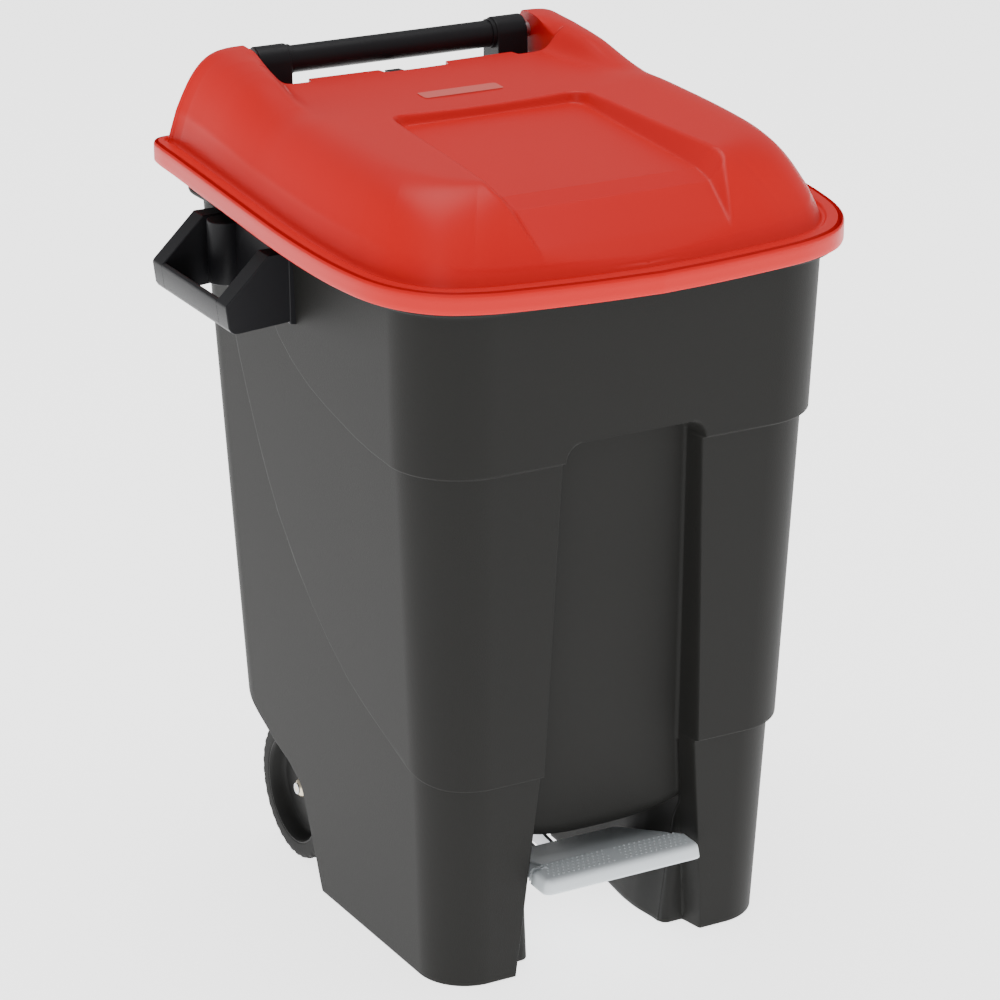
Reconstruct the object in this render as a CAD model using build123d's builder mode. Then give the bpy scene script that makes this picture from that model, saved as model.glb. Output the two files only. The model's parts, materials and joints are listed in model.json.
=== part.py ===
"""A wheeled pedal bin of about 100 litres.

A tapered container stands on two hollow front feet and two rear wheels. A domed lid turns on two pins in
a pair of towers at the back, a push bar joins the towers, and each side has a fixed carrying handle.
Pressing the pedal turns a lever under the floor; its nose lifts a vertical push rod in a channel in the
back wall, and the rod's flat head turns the lid by a cam under the push bar.

+Z is up, the pedal side faces -Y, and the origin is on the floor under the middle of the overall box.
Every piece is written to parts/ as its own STEP file. Lengths are millimetres, angles degrees.
"""

import os
from math import cos, radians, sin

from build123d import *

os.makedirs("parts", exist_ok=True)

# ---------------------------------------------------------------- driving dimensions
WALL = 4.0                  # moulded wall of container and feet
BODY_TOP = 719.0            # top face of the container's rim
FLOOR_LOW = 128.0           # underside of the floor in front, above the pedal lever
FLOOR_HIGH = 172.0          # underside of the floor behind, above the wheels
FLOOR_THICK = 5.0
BASE_TOP = 226.0            # ledge between base tier and middle tier
MIDDLE_TOP = 546.0          # ledge between middle tier and upper tier
RIM_OUT = 14.0              # how far the rim stands out of the wall
RIM_THICK = 6.0
REAR_CORNER = 45.0

HINGE_Y = 257.5             # axis of the push bar and of the lid's pins
HINGE_Z = 827.0
LID_OPEN = 70.0             # degrees the lid opens
PEDAL_TRAVEL = 10.0         # degrees the pedal goes down for that
PIVOT_Y, PIVOT_Z = 40.0, 60.0

# the lever nose and the lid cam are involutes, so pedal, rod and lid keep one fixed ratio
RATIO = LID_OPEN / PEDAL_TRAVEL
LEVER_REACH = (HINGE_Y - PIVOT_Y) * RATIO / (RATIO + 1.0)
CAM_BASE = LEVER_REACH / RATIO
ROD_Y = HINGE_Y - CAM_BASE
NOSE_UP = 50.0              # lever nose above the pivot at rest
CAM_DOWN = 37.0             # lid cam below the hinge axis at rest
GAP = 0.3                   # rest clearance at both ends of the push rod

TUBE_R = 14.0               # push bar
TUBE_WALL = 2.0
TOWER_IN, TOWER_OUT = 118.0, 153.0
TOWER_R = 17.0
SOCKET = 14.0               # how deep the push bar sits in each tower
SLEEVE_LONG, SLEEVE_WALL = 4.0, 1.5
PIN_R = 8.0
PIN_DEEP = 14.0             # how deep a lid pin sits in its tower
RUNNING = 0.08              # radial clearance of a pin in its bore

HANDLE_FRONT, HANDLE_BACK = 14.0, 189.0
HANDLE_OUT = 300.0
ARM_WIDE = 26.0
SCREW_Z = 690.0             # screws that hold the carrying handles
SCREW_FRONT, SCREW_BACK = 27.0, 176.0

WHEEL_R = 75.0
WHEEL_Y = 141.0
WHEEL_OUT, WHEEL_IN = 183.0, 141.0
TYRE_INNER = 58.0
AXLE_R = 6.0

RECESS_TOP = 568.0          # front channel in which the pedal stands
RECESS_HALF_TOP, RECESS_HALF_LOW = 72.0, 108.0
TUNNEL_HALF = 80.0          # opening between the feet
SOLE = 4.0

SHAFT_R = 5.0               # pedal shaft
LEVER_HALF = 12.5
TREAD_FRONT, TREAD_TOP = -238.4, 113.0
TREAD_HALF, NECK_HALF = 89.5, 74.0
ROD_R = 4.0
CHANNEL_HALF = 22.0         # channel for the push rod in the back wall
CHANNEL_Y = 208.0
GUIDE_LEVELS = (196.0, 440.0, 684.0)

SKIRT_LOW = 716.0           # lower edge of the lid's skirt in front
SKIRT_HIGH = 20.0
LID_TILT = 1.85             # the lid's flange rises towards the back
LID_FRONT, LID_BACK = -294.4, 295.0
LID_HALF = 268.0
LID_WALL = 3.5
EAR_IN = 161.0              # inner faces of the lid's two ears
LID_REAR_WALL = 205.0       # lid's back wall between the ears
PANEL_HALF, PANEL_BACK = 106.0, 44.0
LABEL_LONG, LABEL_WIDE, LABEL_Y = 88.0, 20.0, 102.0

# half width and front Y of each tier, and its front corner radius, by height
BASE = {0.0: (187.0, -210.0, 52.0), BASE_TOP: (196.0, -223.0, 58.0), BODY_TOP: (216.0, -247.0, 68.0)}
MIDDLE = {BASE_TOP: (202.5, -230.0, 60.0), MIDDLE_TOP: (216.5, -243.0, 68.0), BODY_TOP: (223.0, -251.0, 70.0)}
UPPER = {MIDDLE_TOP: (224.0, -250.0, 72.0), BODY_TOP: (228.5, -259.0, 76.0)}

# sweeping lower edges of the middle and upper tiers, and the cut over each wheel, seen from the side
UPPER_EDGE = [(-172, MIDDLE_TOP), (-102, 553), (-42, 565), (30, 590), (78, 630), (92, 660), (100, 730)]
MIDDLE_EDGE = [(-192, BASE_TOP), (-126, 246), (-42, 280), (58, 366), (127, 477), (162, 567), (185, 730)]
ARCH = [(49, -5), (58, 33), (70, 76), (80, 107), (96, 118), (108, 126), (131, 134), (160, 149), (190, 168)]


def save(piece, name):
    """Label a finished piece and write its STEP file."""
    piece.part.label = name
    export_step(piece.part, f"parts/{name}.step")


def save_pair(right, name):
    """Write a piece made for +X and its mirror image."""
    save(right, f"{name}_right")
    with BuildPart() as left:
        add(mirror(right.part, about=Plane.YZ))
    save(left, f"{name}_left")


def involute(base, start, turns):
    """Points on an involute cam face at rest: contact `start` from the base tangent, then turned back."""
    points = []
    for turn in turns:
        reach = start + base * turn
        points.append((base * cos(turn) + reach * sin(turn), reach * cos(turn) - base * sin(turn)))
    return points


# ---------------------------------------------------------------- container and feet
def rear_half(z):
    """Half width at the back, where the three tiers run together."""
    return 200.0 + 0.0432 * z


def rear_y(z):
    return 219.0 + 0.0535 * z


def tier_section(skin, z, inset):
    """Half width, front and radius of one tier at height z, as a rounded trapezium taken in by inset."""
    levels = sorted(skin)
    low = max(level for level in levels[:-1] if level <= z)
    high = min(level for level in levels if level > low)
    share = (z - low) / (high - low)
    half, front, radius = (a + share * (b - a) for a, b in zip(skin[low], skin[high]))
    back, back_half = rear_y(z), rear_half(z)
    with BuildSketch(Plane.XY.offset(z)) as face:
        with BuildLine():
            Polyline((-half, front), (half, front), (back_half, back), (-back_half, back), close=True)
        make_face()
        fillet(face.vertices().group_by(Axis.Y)[0], radius)
        fillet(face.vertices().group_by(Axis.Y)[-1], REAR_CORNER)
        if inset:
            offset(amount=-inset, kind=Kind.ARC, mode=Mode.REPLACE)
    return face.sketch


def tier(skin, low, high, inset=0.0):
    """Solid of one tier between two heights."""
    with BuildPart() as solid:
        for z in [low] + [level for level in sorted(skin) if low < level < high] + [high]:
            add(tier_section(skin, z, inset))
        loft(ruled=True)
    return solid.part


def above_edge(edge, rise=0.0):
    """Block that keeps a tier above its level lower edge and its sweep up the side."""
    with BuildPart() as block:
        with BuildSketch(Plane.YZ):
            with BuildLine():
                start = (-300, edge[0][1] + rise)
                points = [(y, z + rise) for y, z in edge]
                Line(start, points[0])
                Spline(points, tangents=[(1, 0), (0.1, 1)])
                Polyline(points[-1], (-300, points[-1][1]), start)
            make_face()
        extrude(amount=300, both=True)
    return block.part


def tiers(inset=0.0):
    """The stepped container, solid; inset gives the form of its inside."""
    with BuildPart() as middle:
        add(tier(MIDDLE, BASE_TOP, BODY_TOP, inset))
        add(above_edge(MIDDLE_EDGE, inset), mode=Mode.INTERSECT)
    with BuildPart() as upper:
        add(tier(UPPER, MIDDLE_TOP, BODY_TOP, inset))
        add(above_edge(UPPER_EDGE, inset), mode=Mode.INTERSECT)
    with BuildPart() as whole:
        add(tier(BASE, 0.0, BODY_TOP, inset))
        add(middle.part)
        add(upper.part)
    return whole.part


def side_profile(points, half=300.0):
    """Prism across the bin from a closed outline seen from the side."""
    with BuildPart() as prism:
        with BuildSketch(Plane.YZ):
            with BuildLine():
                Polyline(*points, close=True)
            make_face()
        extrude(amount=half, both=True)
    return prism.part


def side_plate(points, start, thick):
    """Plate across the bin from a closed outline seen from the side, starting at X = start."""
    with BuildPart() as plate:
        with BuildSketch(Plane.YZ.offset(start)):
            with BuildLine():
                Polyline(*points, close=True)
            make_face()
        extrude(amount=thick)
    return plate.part


def box_between(x, y, z):
    """Box from three (low, high) pairs."""
    with BuildPart() as block:
        with BuildSketch(Plane.XY.offset(z[0])):
            with Locations(((x[0] + x[1]) / 2, (y[0] + y[1]) / 2)):
                Rectangle(x[1] - x[0], y[1] - y[0])
        extrude(amount=z[1] - z[0])
    return block.part


def recess_block(grow=0.0):
    """Front channel, narrow at the top and wide at the feet; grow adds a wall round it."""
    top = RECESS_TOP + grow
    half_top, half_low = RECESS_HALF_TOP + grow, RECESS_HALF_LOW + grow
    with BuildPart() as block:
        with BuildSketch(Plane.XZ.offset(350)) as outline:
            with BuildLine():
                Polyline((-half_low, -5), (-half_top, top), (half_top, top), (half_low, -5), close=True)
            make_face()
            fillet(outline.vertices().group_by(Axis.Y)[-1], 18)
        extrude(amount=-250)
        lean = [(-400, -20), (-400, 620), (-226 + grow, 620), (-182 + grow, -20)]
        add(side_profile(lean), mode=Mode.INTERSECT)
    return block.part


def floor_line(lift):
    """Stepped line of the floor from front to back."""
    low, high = FLOOR_LOW + lift, FLOOR_HIGH + lift
    return [(-300, low), (66 - lift / 2, low), (90 - lift / 2, high), (300, high)]


outer = tiers()

with BuildPart() as inside:
    add(tiers(WALL))
    add(recess_block(WALL), mode=Mode.SUBTRACT)
    add(side_profile(floor_line(FLOOR_THICK) + [(300, 760), (-300, 760)]), mode=Mode.INTERSECT)
    add(box_between((-CHANNEL_HALF - WALL, CHANNEL_HALF + WALL), (CHANNEL_Y - WALL, 300), (100, 760)),
        mode=Mode.SUBTRACT)
    add(box_between((-EAR_IN - 8, EAR_IN + 8), (CHANNEL_Y - 8, 300), (BODY_TOP - 7, 760)),
        mode=Mode.SUBTRACT)

with BuildPart() as underneath:
    add(tier(BASE, 0.0, FLOOR_HIGH + 10, WALL))
    add(recess_block(WALL), mode=Mode.SUBTRACT)
    add(side_profile(floor_line(0.0) + [(300, -5), (-300, -5)]), mode=Mode.INTERSECT)
    for side in (-1, 1):
        wall = sorted((side * TUNNEL_HALF, side * (TUNNEL_HALF + WALL)))
        foot = sorted((side * TUNNEL_HALF, side * 260))
        add(box_between(wall, (-300, 62), (-5, 150)), mode=Mode.SUBTRACT)
        add(box_between(foot, (-300, 62), (-5, SOLE)), mode=Mode.SUBTRACT)

with BuildPart() as bin_body:
    add(outer)
    with BuildSketch(Plane.XY.offset(BODY_TOP)):
        add(tier_section(UPPER, BODY_TOP, -RIM_OUT))
    extrude(amount=-RIM_THICK)
    add(inside.part, mode=Mode.SUBTRACT)
    add(underneath.part, mode=Mode.SUBTRACT)
    add(recess_block(), mode=Mode.SUBTRACT)
    add(box_between((-TUNNEL_HALF, TUNNEL_HALF), (-300, -150), (-5, FLOOR_LOW)), mode=Mode.SUBTRACT)
    add(side_profile(ARCH + [(205, 176), (300, 180), (300, -5)]), mode=Mode.SUBTRACT)
    add(box_between((-CHANNEL_HALF, CHANNEL_HALF), (CHANNEL_Y, 300), (-5, 760)), mode=Mode.SUBTRACT)
    # two hangers for the axle under the rear floor
    with BuildSketch(Plane.YZ):
        with BuildLine():
            Polyline((112, FLOOR_HIGH + 1), (172, FLOOR_HIGH + 1), (157, 68), (125, 68), close=True)
        make_face()
        with Locations((WHEEL_Y, WHEEL_R)):
            Circle(17)
            Circle(AXLE_R, mode=Mode.SUBTRACT)
    extrude(amount=136, both=True)
    add(box_between((-126, 126), (100, 180), (40, FLOOR_HIGH)), mode=Mode.SUBTRACT)
    # bores for the pedal shaft in the inner walls of the feet
    with Locations(Pos(0, PIVOT_Y, PIVOT_Z)):
        Cylinder(SHAFT_R, 2 * (TUNNEL_HALF + WALL + 2), rotation=(0, 90, 0), mode=Mode.SUBTRACT)
save(bin_body, "bin_body")

# ---------------------------------------------------------------- rear towers and push bar
with BuildPart() as tower:
    with BuildSketch(Plane.YZ.offset(TOWER_IN)):
        with BuildLine():
            Polyline(
                (HINGE_Y - TOWER_R, HINGE_Z),
                (HINGE_Y - TOWER_R - 6, BODY_TOP),
                (HINGE_Y + TOWER_R, BODY_TOP),
                (HINGE_Y + TOWER_R, HINGE_Z),
                close=True,
            )
        make_face()
        with Locations((HINGE_Y, HINGE_Z)):
            Circle(TOWER_R)
    extrude(amount=TOWER_OUT - TOWER_IN)
    # blind socket for the push bar and running bore for the lid's pin
    with BuildSketch(Plane.YZ.offset(TOWER_IN)):
        with Locations((HINGE_Y, HINGE_Z)):
            Circle(TUBE_R)
    extrude(amount=SOCKET, mode=Mode.SUBTRACT)
    with BuildSketch(Plane.YZ.offset(TOWER_OUT)):
        with Locations((HINGE_Y, HINGE_Z)):
            Circle(PIN_R + RUNNING)
    extrude(amount=-PIN_DEEP - 2, mode=Mode.SUBTRACT)
save_pair(tower, "hinge_tower")

with BuildPart() as push_bar:
    with BuildSketch(Plane.YZ.offset(-TOWER_IN - SOCKET)):
        with Locations((HINGE_Y, HINGE_Z)):
            Circle(TUBE_R)
            Circle(TUBE_R - TUBE_WALL, mode=Mode.SUBTRACT)
    extrude(amount=2 * (TOWER_IN + SOCKET))
save(push_bar, "push_bar")

with BuildPart() as bar_sleeve:
    with BuildSketch(Plane.YZ.offset(TOWER_IN - SLEEVE_LONG)):
        with Locations((HINGE_Y, HINGE_Z)):
            Circle(TUBE_R + SLEEVE_WALL)
            Circle(TUBE_R, mode=Mode.SUBTRACT)
    extrude(amount=SLEEVE_LONG)
save_pair(bar_sleeve, "bar_sleeve")

# ---------------------------------------------------------------- carrying handles
def handle_section(profile, start, length):
    """Piece of the handle with one outline seen from the front, running back from start."""
    with BuildPart() as piece:
        with BuildSketch(Plane.XZ.offset(-start)):
            with BuildLine():
                Polyline(*profile, close=True)
            make_face()
        extrude(amount=-length)
    return piece.part


ARM = [(215, 636), (291, 632), (HANDLE_OUT, 661), (254, 706), (215, 706)]
GRIP = [(281, 632), (291, 632), (HANDLE_OUT, 661), (292, 668), (283, 655)]
with BuildPart() as side_handle:
    add(handle_section(ARM, HANDLE_FRONT, ARM_WIDE))
    add(handle_section(ARM, HANDLE_BACK - ARM_WIDE, ARM_WIDE))
    add(handle_section(GRIP, HANDLE_FRONT, HANDLE_BACK - HANDLE_FRONT))
    add(handle_section([(215, 630), (236, 630), (236, 706), (215, 706)], HANDLE_FRONT, 175))
    add(outer, mode=Mode.SUBTRACT)
    with Locations(*[Pos(230, y, SCREW_Z) for y in (SCREW_FRONT, SCREW_BACK)]):
        Cylinder(2.5, 60, rotation=(0, 90, 0), mode=Mode.SUBTRACT)
save_pair(side_handle, "side_handle")

# a pan-head screw from inside the container holds each end of a handle
for end, screw_y in (("front", SCREW_FRONT), ("back", SCREW_BACK)):
    narrowing = (228.0 - rear_half(SCREW_Z)) * (rear_y(SCREW_Z) - screw_y) / 510.0
    seat = rear_half(SCREW_Z) + narrowing - WALL - 1.3
    with BuildPart() as handle_screw:
        with BuildSketch(Plane.YZ.offset(seat - 3.0)):
            with Locations((screw_y, SCREW_Z)):
                Circle(6.0)
        extrude(amount=3.4)
        add(bin_body.part, mode=Mode.SUBTRACT)
    save_pair(handle_screw, f"handle_screw_{end}")

# ---------------------------------------------------------------- axle and wheels
with BuildPart() as axle:
    with BuildSketch(Plane.YZ.offset(-178)):
        with Locations((WHEEL_Y, WHEEL_R)):
            Circle(AXLE_R)
    extrude(amount=356)
save(axle, "axle")

with BuildPart() as axle_cap:
    with BuildSketch(Plane.YZ.offset(WHEEL_OUT - 12.3)):
        with Locations((WHEEL_Y, WHEEL_R)):
            Circle(10.5)
    extrude(amount=10.5)
    fillet(axle_cap.edges().group_by(Axis.X)[-1], 4.5)
    with BuildSketch(Plane.YZ.offset(WHEEL_OUT - 14)):
        with Locations((WHEEL_Y, WHEEL_R)):
            Circle(AXLE_R)
    extrude(amount=178 - (WHEEL_OUT - 14), mode=Mode.SUBTRACT)
save_pair(axle_cap, "axle_cap")

with BuildPart() as axle_spacer:
    with BuildSketch(Plane.YZ.offset(136)):
        with Locations((WHEEL_Y, WHEEL_R)):
            Circle(12)
            Circle(AXLE_R, mode=Mode.SUBTRACT)
    extrude(amount=WHEEL_IN - 0.4 - 136)
save_pair(axle_spacer, "axle_spacer")

with BuildPart() as wheel_centre:
    with BuildSketch(Plane.XY.offset(WHEEL_R)):
        with BuildLine():
            # one half section of the dished centre: hub, thin web, rim
            Polyline(
                (WHEEL_IN, WHEEL_Y + AXLE_R + RUNNING),
                (170, WHEEL_Y + AXLE_R + RUNNING),
                (170, WHEEL_Y + 17),
                (166, WHEEL_Y + 22),
                (168, WHEEL_Y + 48),
                (WHEEL_OUT - 3, WHEEL_Y + 52),
                (WHEEL_OUT - 3, WHEEL_Y + TYRE_INNER),
                (WHEEL_IN + 2, WHEEL_Y + TYRE_INNER),
                (WHEEL_IN + 2, WHEEL_Y + 52),
                (160, WHEEL_Y + 48),
                (158, WHEEL_Y + 22),
                (WHEEL_IN, WHEEL_Y + 17),
                close=True,
            )
        make_face()
    revolve(axis=Axis((0, WHEEL_Y, WHEEL_R), (1, 0, 0)))
save_pair(wheel_centre, "wheel_centre")

with BuildPart() as tyre:
    with BuildSketch(Plane.XY.offset(WHEEL_R)) as ring:
        with Locations(((WHEEL_OUT + WHEEL_IN) / 2, WHEEL_Y + (TYRE_INNER + WHEEL_R) / 2)):
            Rectangle(WHEEL_OUT - WHEEL_IN, WHEEL_R - TYRE_INNER)
        fillet(ring.vertices().group_by(Axis.Y)[-1], 5)
    revolve(axis=Axis((0, WHEEL_Y, WHEEL_R), (1, 0, 0)))
save_pair(tyre, "tyre")

# ---------------------------------------------------------------- pedal
with BuildPart() as pedal_shaft:
    with BuildSketch(Plane.YZ.offset(-TUNNEL_HALF - WALL - 1)):
        with Locations((PIVOT_Y, PIVOT_Z)):
            Circle(SHAFT_R)
    extrude(amount=2 * (TUNNEL_HALF + WALL + 1))
save(pedal_shaft, "pedal_shaft")

with BuildPart() as shaft_spacer:
    with BuildSketch(Plane.YZ.offset(13)):
        with Locations((PIVOT_Y, PIVOT_Z)):
            Circle(8)
            Circle(SHAFT_R, mode=Mode.SUBTRACT)
    extrude(amount=TUNNEL_HALF - 13)
save_pair(shaft_spacer, "shaft_spacer")

nose = involute(LEVER_REACH, NOSE_UP, [radians(t) for t in (-2, 0, 2, 4, 6, 8, 10, 11.5)])
nose_face = [(PIVOT_Y + y, PIVOT_Z + z) for y, z in nose]
nose_end = nose_face[-1][0]
LEVER = [
    (-190, 88), (-190, 101), (-74, 61), (28, 72), (50, 72), (98, 104), (nose_face[0][0], 108),
] + nose_face + [(nose_end, 98), (112, 90), (56, 48), (30, 47), (-74, 46)]
with BuildPart() as pedal_lever:
    with BuildSketch(Plane.YZ):
        with BuildLine():
            Polyline(*LEVER, close=True)
        make_face()
        with Locations((PIVOT_Y, PIVOT_Z)):
            Circle(14)
            Circle(SHAFT_R + RUNNING, mode=Mode.SUBTRACT)
    extrude(amount=LEVER_HALF, both=True)
    # two cheek plates, solid at the nose and round the shaft
    for start, end in ((-186, PIVOT_Y - 14), (PIVOT_Y + 14, 214)):
        add(box_between((-8.5, 8.5), (start, end), (30, 130)), mode=Mode.SUBTRACT)
    add(side_profile([(-190, 88), (-190, 101), (-120, 77), (-120, 71)], LEVER_HALF))
    add(side_profile([(60, 76.5), (98, 104), (226, 108), (226, 104), (100, 100), (62, 74)], LEVER_HALF))
save(pedal_lever, "pedal_lever")

LIP = [
    (TREAD_FRONT, 97.5), (TREAD_FRONT, 107), (-235, 111.5), (-230, TREAD_TOP), (-206, TREAD_TOP), (-199, 111.6),
    (-199, 106), (-208, 108), (-230, 108), (-233, 106), (-234, 97.5),
]
NECK = [(-206, TREAD_TOP), (-199, 111.6), (-92, 72.6), (-92, 67.6), (-199, 105), (-206, 107)]
NECK_EDGE = [(-206, 111), (-199, 110), (-92, 71), (-92, 60), (-199, 92), (-206, 96)]
with BuildPart() as pedal_tread:
    add(side_profile(LIP, TREAD_HALF))
    add(side_profile(NECK, NECK_HALF))
    for start in (-NECK_HALF, NECK_HALF - 3.5):
        add(side_plate(NECK_EDGE, start, 3.5))
save(pedal_tread, "pedal_tread")

# ---------------------------------------------------------------- push rod and its guides
FOOT_LOW = PIVOT_Z + NOSE_UP + GAP
HEAD_TOP = HINGE_Z - CAM_DOWN - GAP


def post(radius, low, high, bore=0.0):
    """Round post on the push rod's axis."""
    with BuildPart() as piece:
        with BuildSketch(Plane.XY.offset(low)):
            with Locations((0, ROD_Y)):
                Circle(radius)
                if bore:
                    Circle(bore, mode=Mode.SUBTRACT)
        extrude(amount=high - low)
    return piece


save(post(ROD_R, FOOT_LOW + 4, HEAD_TOP - 4), "push_rod")
for pad, low, high, socket in (
    ("rod_foot", FOOT_LOW, FOOT_LOW + 14, FOOT_LOW + 4),
    ("rod_head", HEAD_TOP - 14, HEAD_TOP, HEAD_TOP - 4),
):
    with BuildPart() as rod_end:
        add(post(9, low, high).part)
        bounds = (socket, high) if pad == "rod_foot" else (low, socket)
        add(post(ROD_R, *bounds).part, mode=Mode.SUBTRACT)
    save(rod_end, pad)

for number, level in enumerate(GUIDE_LEVELS, start=1):
    with BuildPart() as rod_guide:
        add(box_between((-CHANNEL_HALF, CHANNEL_HALF), (CHANNEL_Y, ROD_Y + 10), (level, level + 18)))
        add(post(ROD_R + 0.1, level, level + 18).part, mode=Mode.SUBTRACT)
        with Locations(*[Pos(x, CHANNEL_Y + 16, level + 9) for x in (-14.0, 14.0)]):
            Box(11, 34, 12, mode=Mode.SUBTRACT)
    save(rod_guide, f"rod_guide_{number}")

# ---------------------------------------------------------------- lid
tilt_plane = Plane(origin=(0, LID_FRONT, SKIRT_LOW), x_dir=(1, 0, 0),
                   z_dir=(0, -sin(radians(LID_TILT)), cos(radians(LID_TILT))))


def lid_outline(inset):
    """Outline of the lid's flange from above, in the tilted plane, taken in by inset."""
    length = (LID_BACK - LID_FRONT) / cos(radians(LID_TILT))
    with BuildSketch() as face:
        with BuildLine():
            ThreePointArc((-212, 28), (0, 0), (212, 28))
            Polyline((212, 28), (LID_HALF, 90), (LID_HALF, 300), (258, length), (-258, length),
                     (-LID_HALF, 300), (-LID_HALF, 90), (-212, 28))
        make_face()
        fillet(face.vertices().filter_by_position(Axis.Y, 20, 35), 60)
        fillet(face.vertices().filter_by_position(Axis.Y, 80, 100), 60)
        fillet(face.vertices().group_by(Axis.Y)[-1], 16)
        if inset:
            offset(amount=-inset, kind=Kind.ARC, mode=Mode.REPLACE)
    return face.sketch


def lid_slab(inset, low, high):
    """Plate of the lid's outline between two heights above the skirt's lower edge."""
    with BuildPart() as slab:
        with BuildSketch(tilt_plane.offset(low)):
            add(lid_outline(inset))
        extrude(amount=high - low)
    return slab.part


TOP_LINE = [(-272, 735), (-266, 762), (-254, 798), (-240, 810), (-194, 818), (-60, 823), (60, 831),
            (130, 838), (200, 842), (262, 846), (279, 839), (288, 815), (292, 735)]
SADDLE_LINE = [(-274, 733), (-262, 745), (-240, 770), (-194, 806), (194, 818), (330, 822)]
PANEL_LINE = [(-266, 733), (-262, 742), (-238, 757), (-194, 790), (PANEL_BACK, 805)]


def above_line(line, half, drop=0.0):
    """Prism above a line seen from the side, lowered and extended at the back by drop."""
    points = [(y, z - drop) for y, z in line]
    points[-1] = (points[-1][0] + drop, points[-1][1])
    return side_profile(points + [(points[-1][0], 900), (points[0][0], 900)], half)


def rear_gap(grow=0.0):
    """Space between the two ears, where the towers and the push bar stand."""
    return box_between((-EAR_IN - grow, EAR_IN + grow), (LID_REAR_WALL - grow, 320), (690, 900))


def dome(wall=0.0):
    """Solid form of the dome with its two shoulders; wall gives the form of its inside."""
    with BuildPart() as saddle:
        with BuildSketch(Plane.XZ.offset(330)):
            with BuildLine():
                Polyline((-176 - wall, 900), (-118 - wall, 700), (118 + wall, 700), (176 + wall, 900), close=True)
            make_face()
        extrude(amount=-700)
        add(above_line(SADDLE_LINE, 300, wall), mode=Mode.INTERSECT)
    with BuildPart() as form:
        for z, half, front, back, radius in (
            (728.0, 246.0, -272.0, 290.0, 84.0),
            (775.0, 233.0, -264.0, 289.0, 78.0),
            (822.0, 210.0, -252.0, 286.0, 68.0),
            (848.0, 177.0, -236.0, 282.0, 50.0),
        ):
            with BuildSketch(Plane.XY.offset(z - wall)) as face:
                with Locations((0, (front + back) / 2)):
                    Rectangle(2 * half, back - front)
                fillet(face.vertices().group_by(Axis.Y)[0], radius)
                fillet(face.vertices().group_by(Axis.Y)[-1], 14)
                if wall:
                    offset(amount=-wall, kind=Kind.ARC, mode=Mode.REPLACE)
        loft(ruled=True)
        add(side_profile([(y, z - 1.2 * wall) for y, z in TOP_LINE]), mode=Mode.INTERSECT)
        add(saddle.part, mode=Mode.SUBTRACT)
        add(above_line(PANEL_LINE, PANEL_HALF + wall, wall), mode=Mode.SUBTRACT)
        add(rear_gap(wall), mode=Mode.SUBTRACT)
    return form.part


with BuildPart() as flange_space:
    add(lid_slab(LID_WALL, -6.0, SKIRT_HIGH - LID_WALL))
    add(rear_gap(LID_WALL), mode=Mode.SUBTRACT)

with BuildPart() as lid_shell:
    add(lid_slab(0.0, 0.0, SKIRT_HIGH))
    add(rear_gap(), mode=Mode.SUBTRACT)
    add(dome())
    add(flange_space.part, mode=Mode.SUBTRACT)
    add(dome(LID_WALL), mode=Mode.SUBTRACT)
    # bores for the two pins in the inner walls of the ears
    with Locations(Pos(0, HINGE_Y, HINGE_Z)):
        Cylinder(PIN_R, 2 * (EAR_IN + LID_WALL + 2), rotation=(0, 90, 0), mode=Mode.SUBTRACT)
save(lid_shell, "lid_shell")

with BuildPart() as lid_pin:
    head = EAR_IN + LID_WALL + 0.1
    for start, end, radius in ((TOWER_OUT - PIN_DEEP, head + 2.9, PIN_R), (head, head + 2.9, 10.0)):
        with BuildSketch(Plane.YZ.offset(start)):
            with Locations((HINGE_Y, HINGE_Z)):
                Circle(radius)
        extrude(amount=end - start)
save_pair(lid_pin, "lid_pin")

# cam lug under the push bar: its face is an involute, so the flat rod head turns it at a fixed ratio
cam_face = [(HINGE_Y - y, HINGE_Z - z) for y, z in involute(CAM_BASE, CAM_DOWN, [-radians(t) for t in
            (0, 10, 20, 30, 40, 50, 60, 70, 73)])]
with BuildPart() as lid_cam:
    with BuildSketch(Plane.YZ):
        with BuildLine():
            Polyline(
                (LID_REAR_WALL, HINGE_Z - 19),
                (LID_REAR_WALL, HINGE_Z - 44),
                (LID_REAR_WALL + 8, HINGE_Z - CAM_DOWN),
                *cam_face,
                (cam_face[-1][0] + 1, HINGE_Z - 23),
                (HINGE_Y - 18, HINGE_Z - 22),
                (LID_REAR_WALL + 14, HINGE_Z - 20),
                close=True,
            )
        make_face()
    extrude(amount=8, both=True)
save(lid_cam, "lid_cam")

with BuildPart() as bumper:
    with BuildSketch(Plane.XY.offset(BODY_TOP + GAP)):
        with Locations((209, -239.5)):
            Circle(5)
    extrude(amount=14)
save_pair(bumper, "lid_bumper")

label_slope = (818.0 - 806.0) / 388.0
with BuildPart() as label_pad:
    with BuildSketch(Plane(origin=(0, LABEL_Y, 806 + label_slope * (LABEL_Y + 194) + 0.05),
                           x_dir=(1, 0, 0), z_dir=(0, -label_slope, 1))):
        RectangleRounded(LABEL_LONG, LABEL_WIDE, 3)
    extrude(amount=1.0)
save(label_pad, "label_pad")
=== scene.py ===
"""Visual model of a wheeled pedal bin on its CAD frame. Lengths in the helpers are millimetres."""
import json
import math

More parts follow.
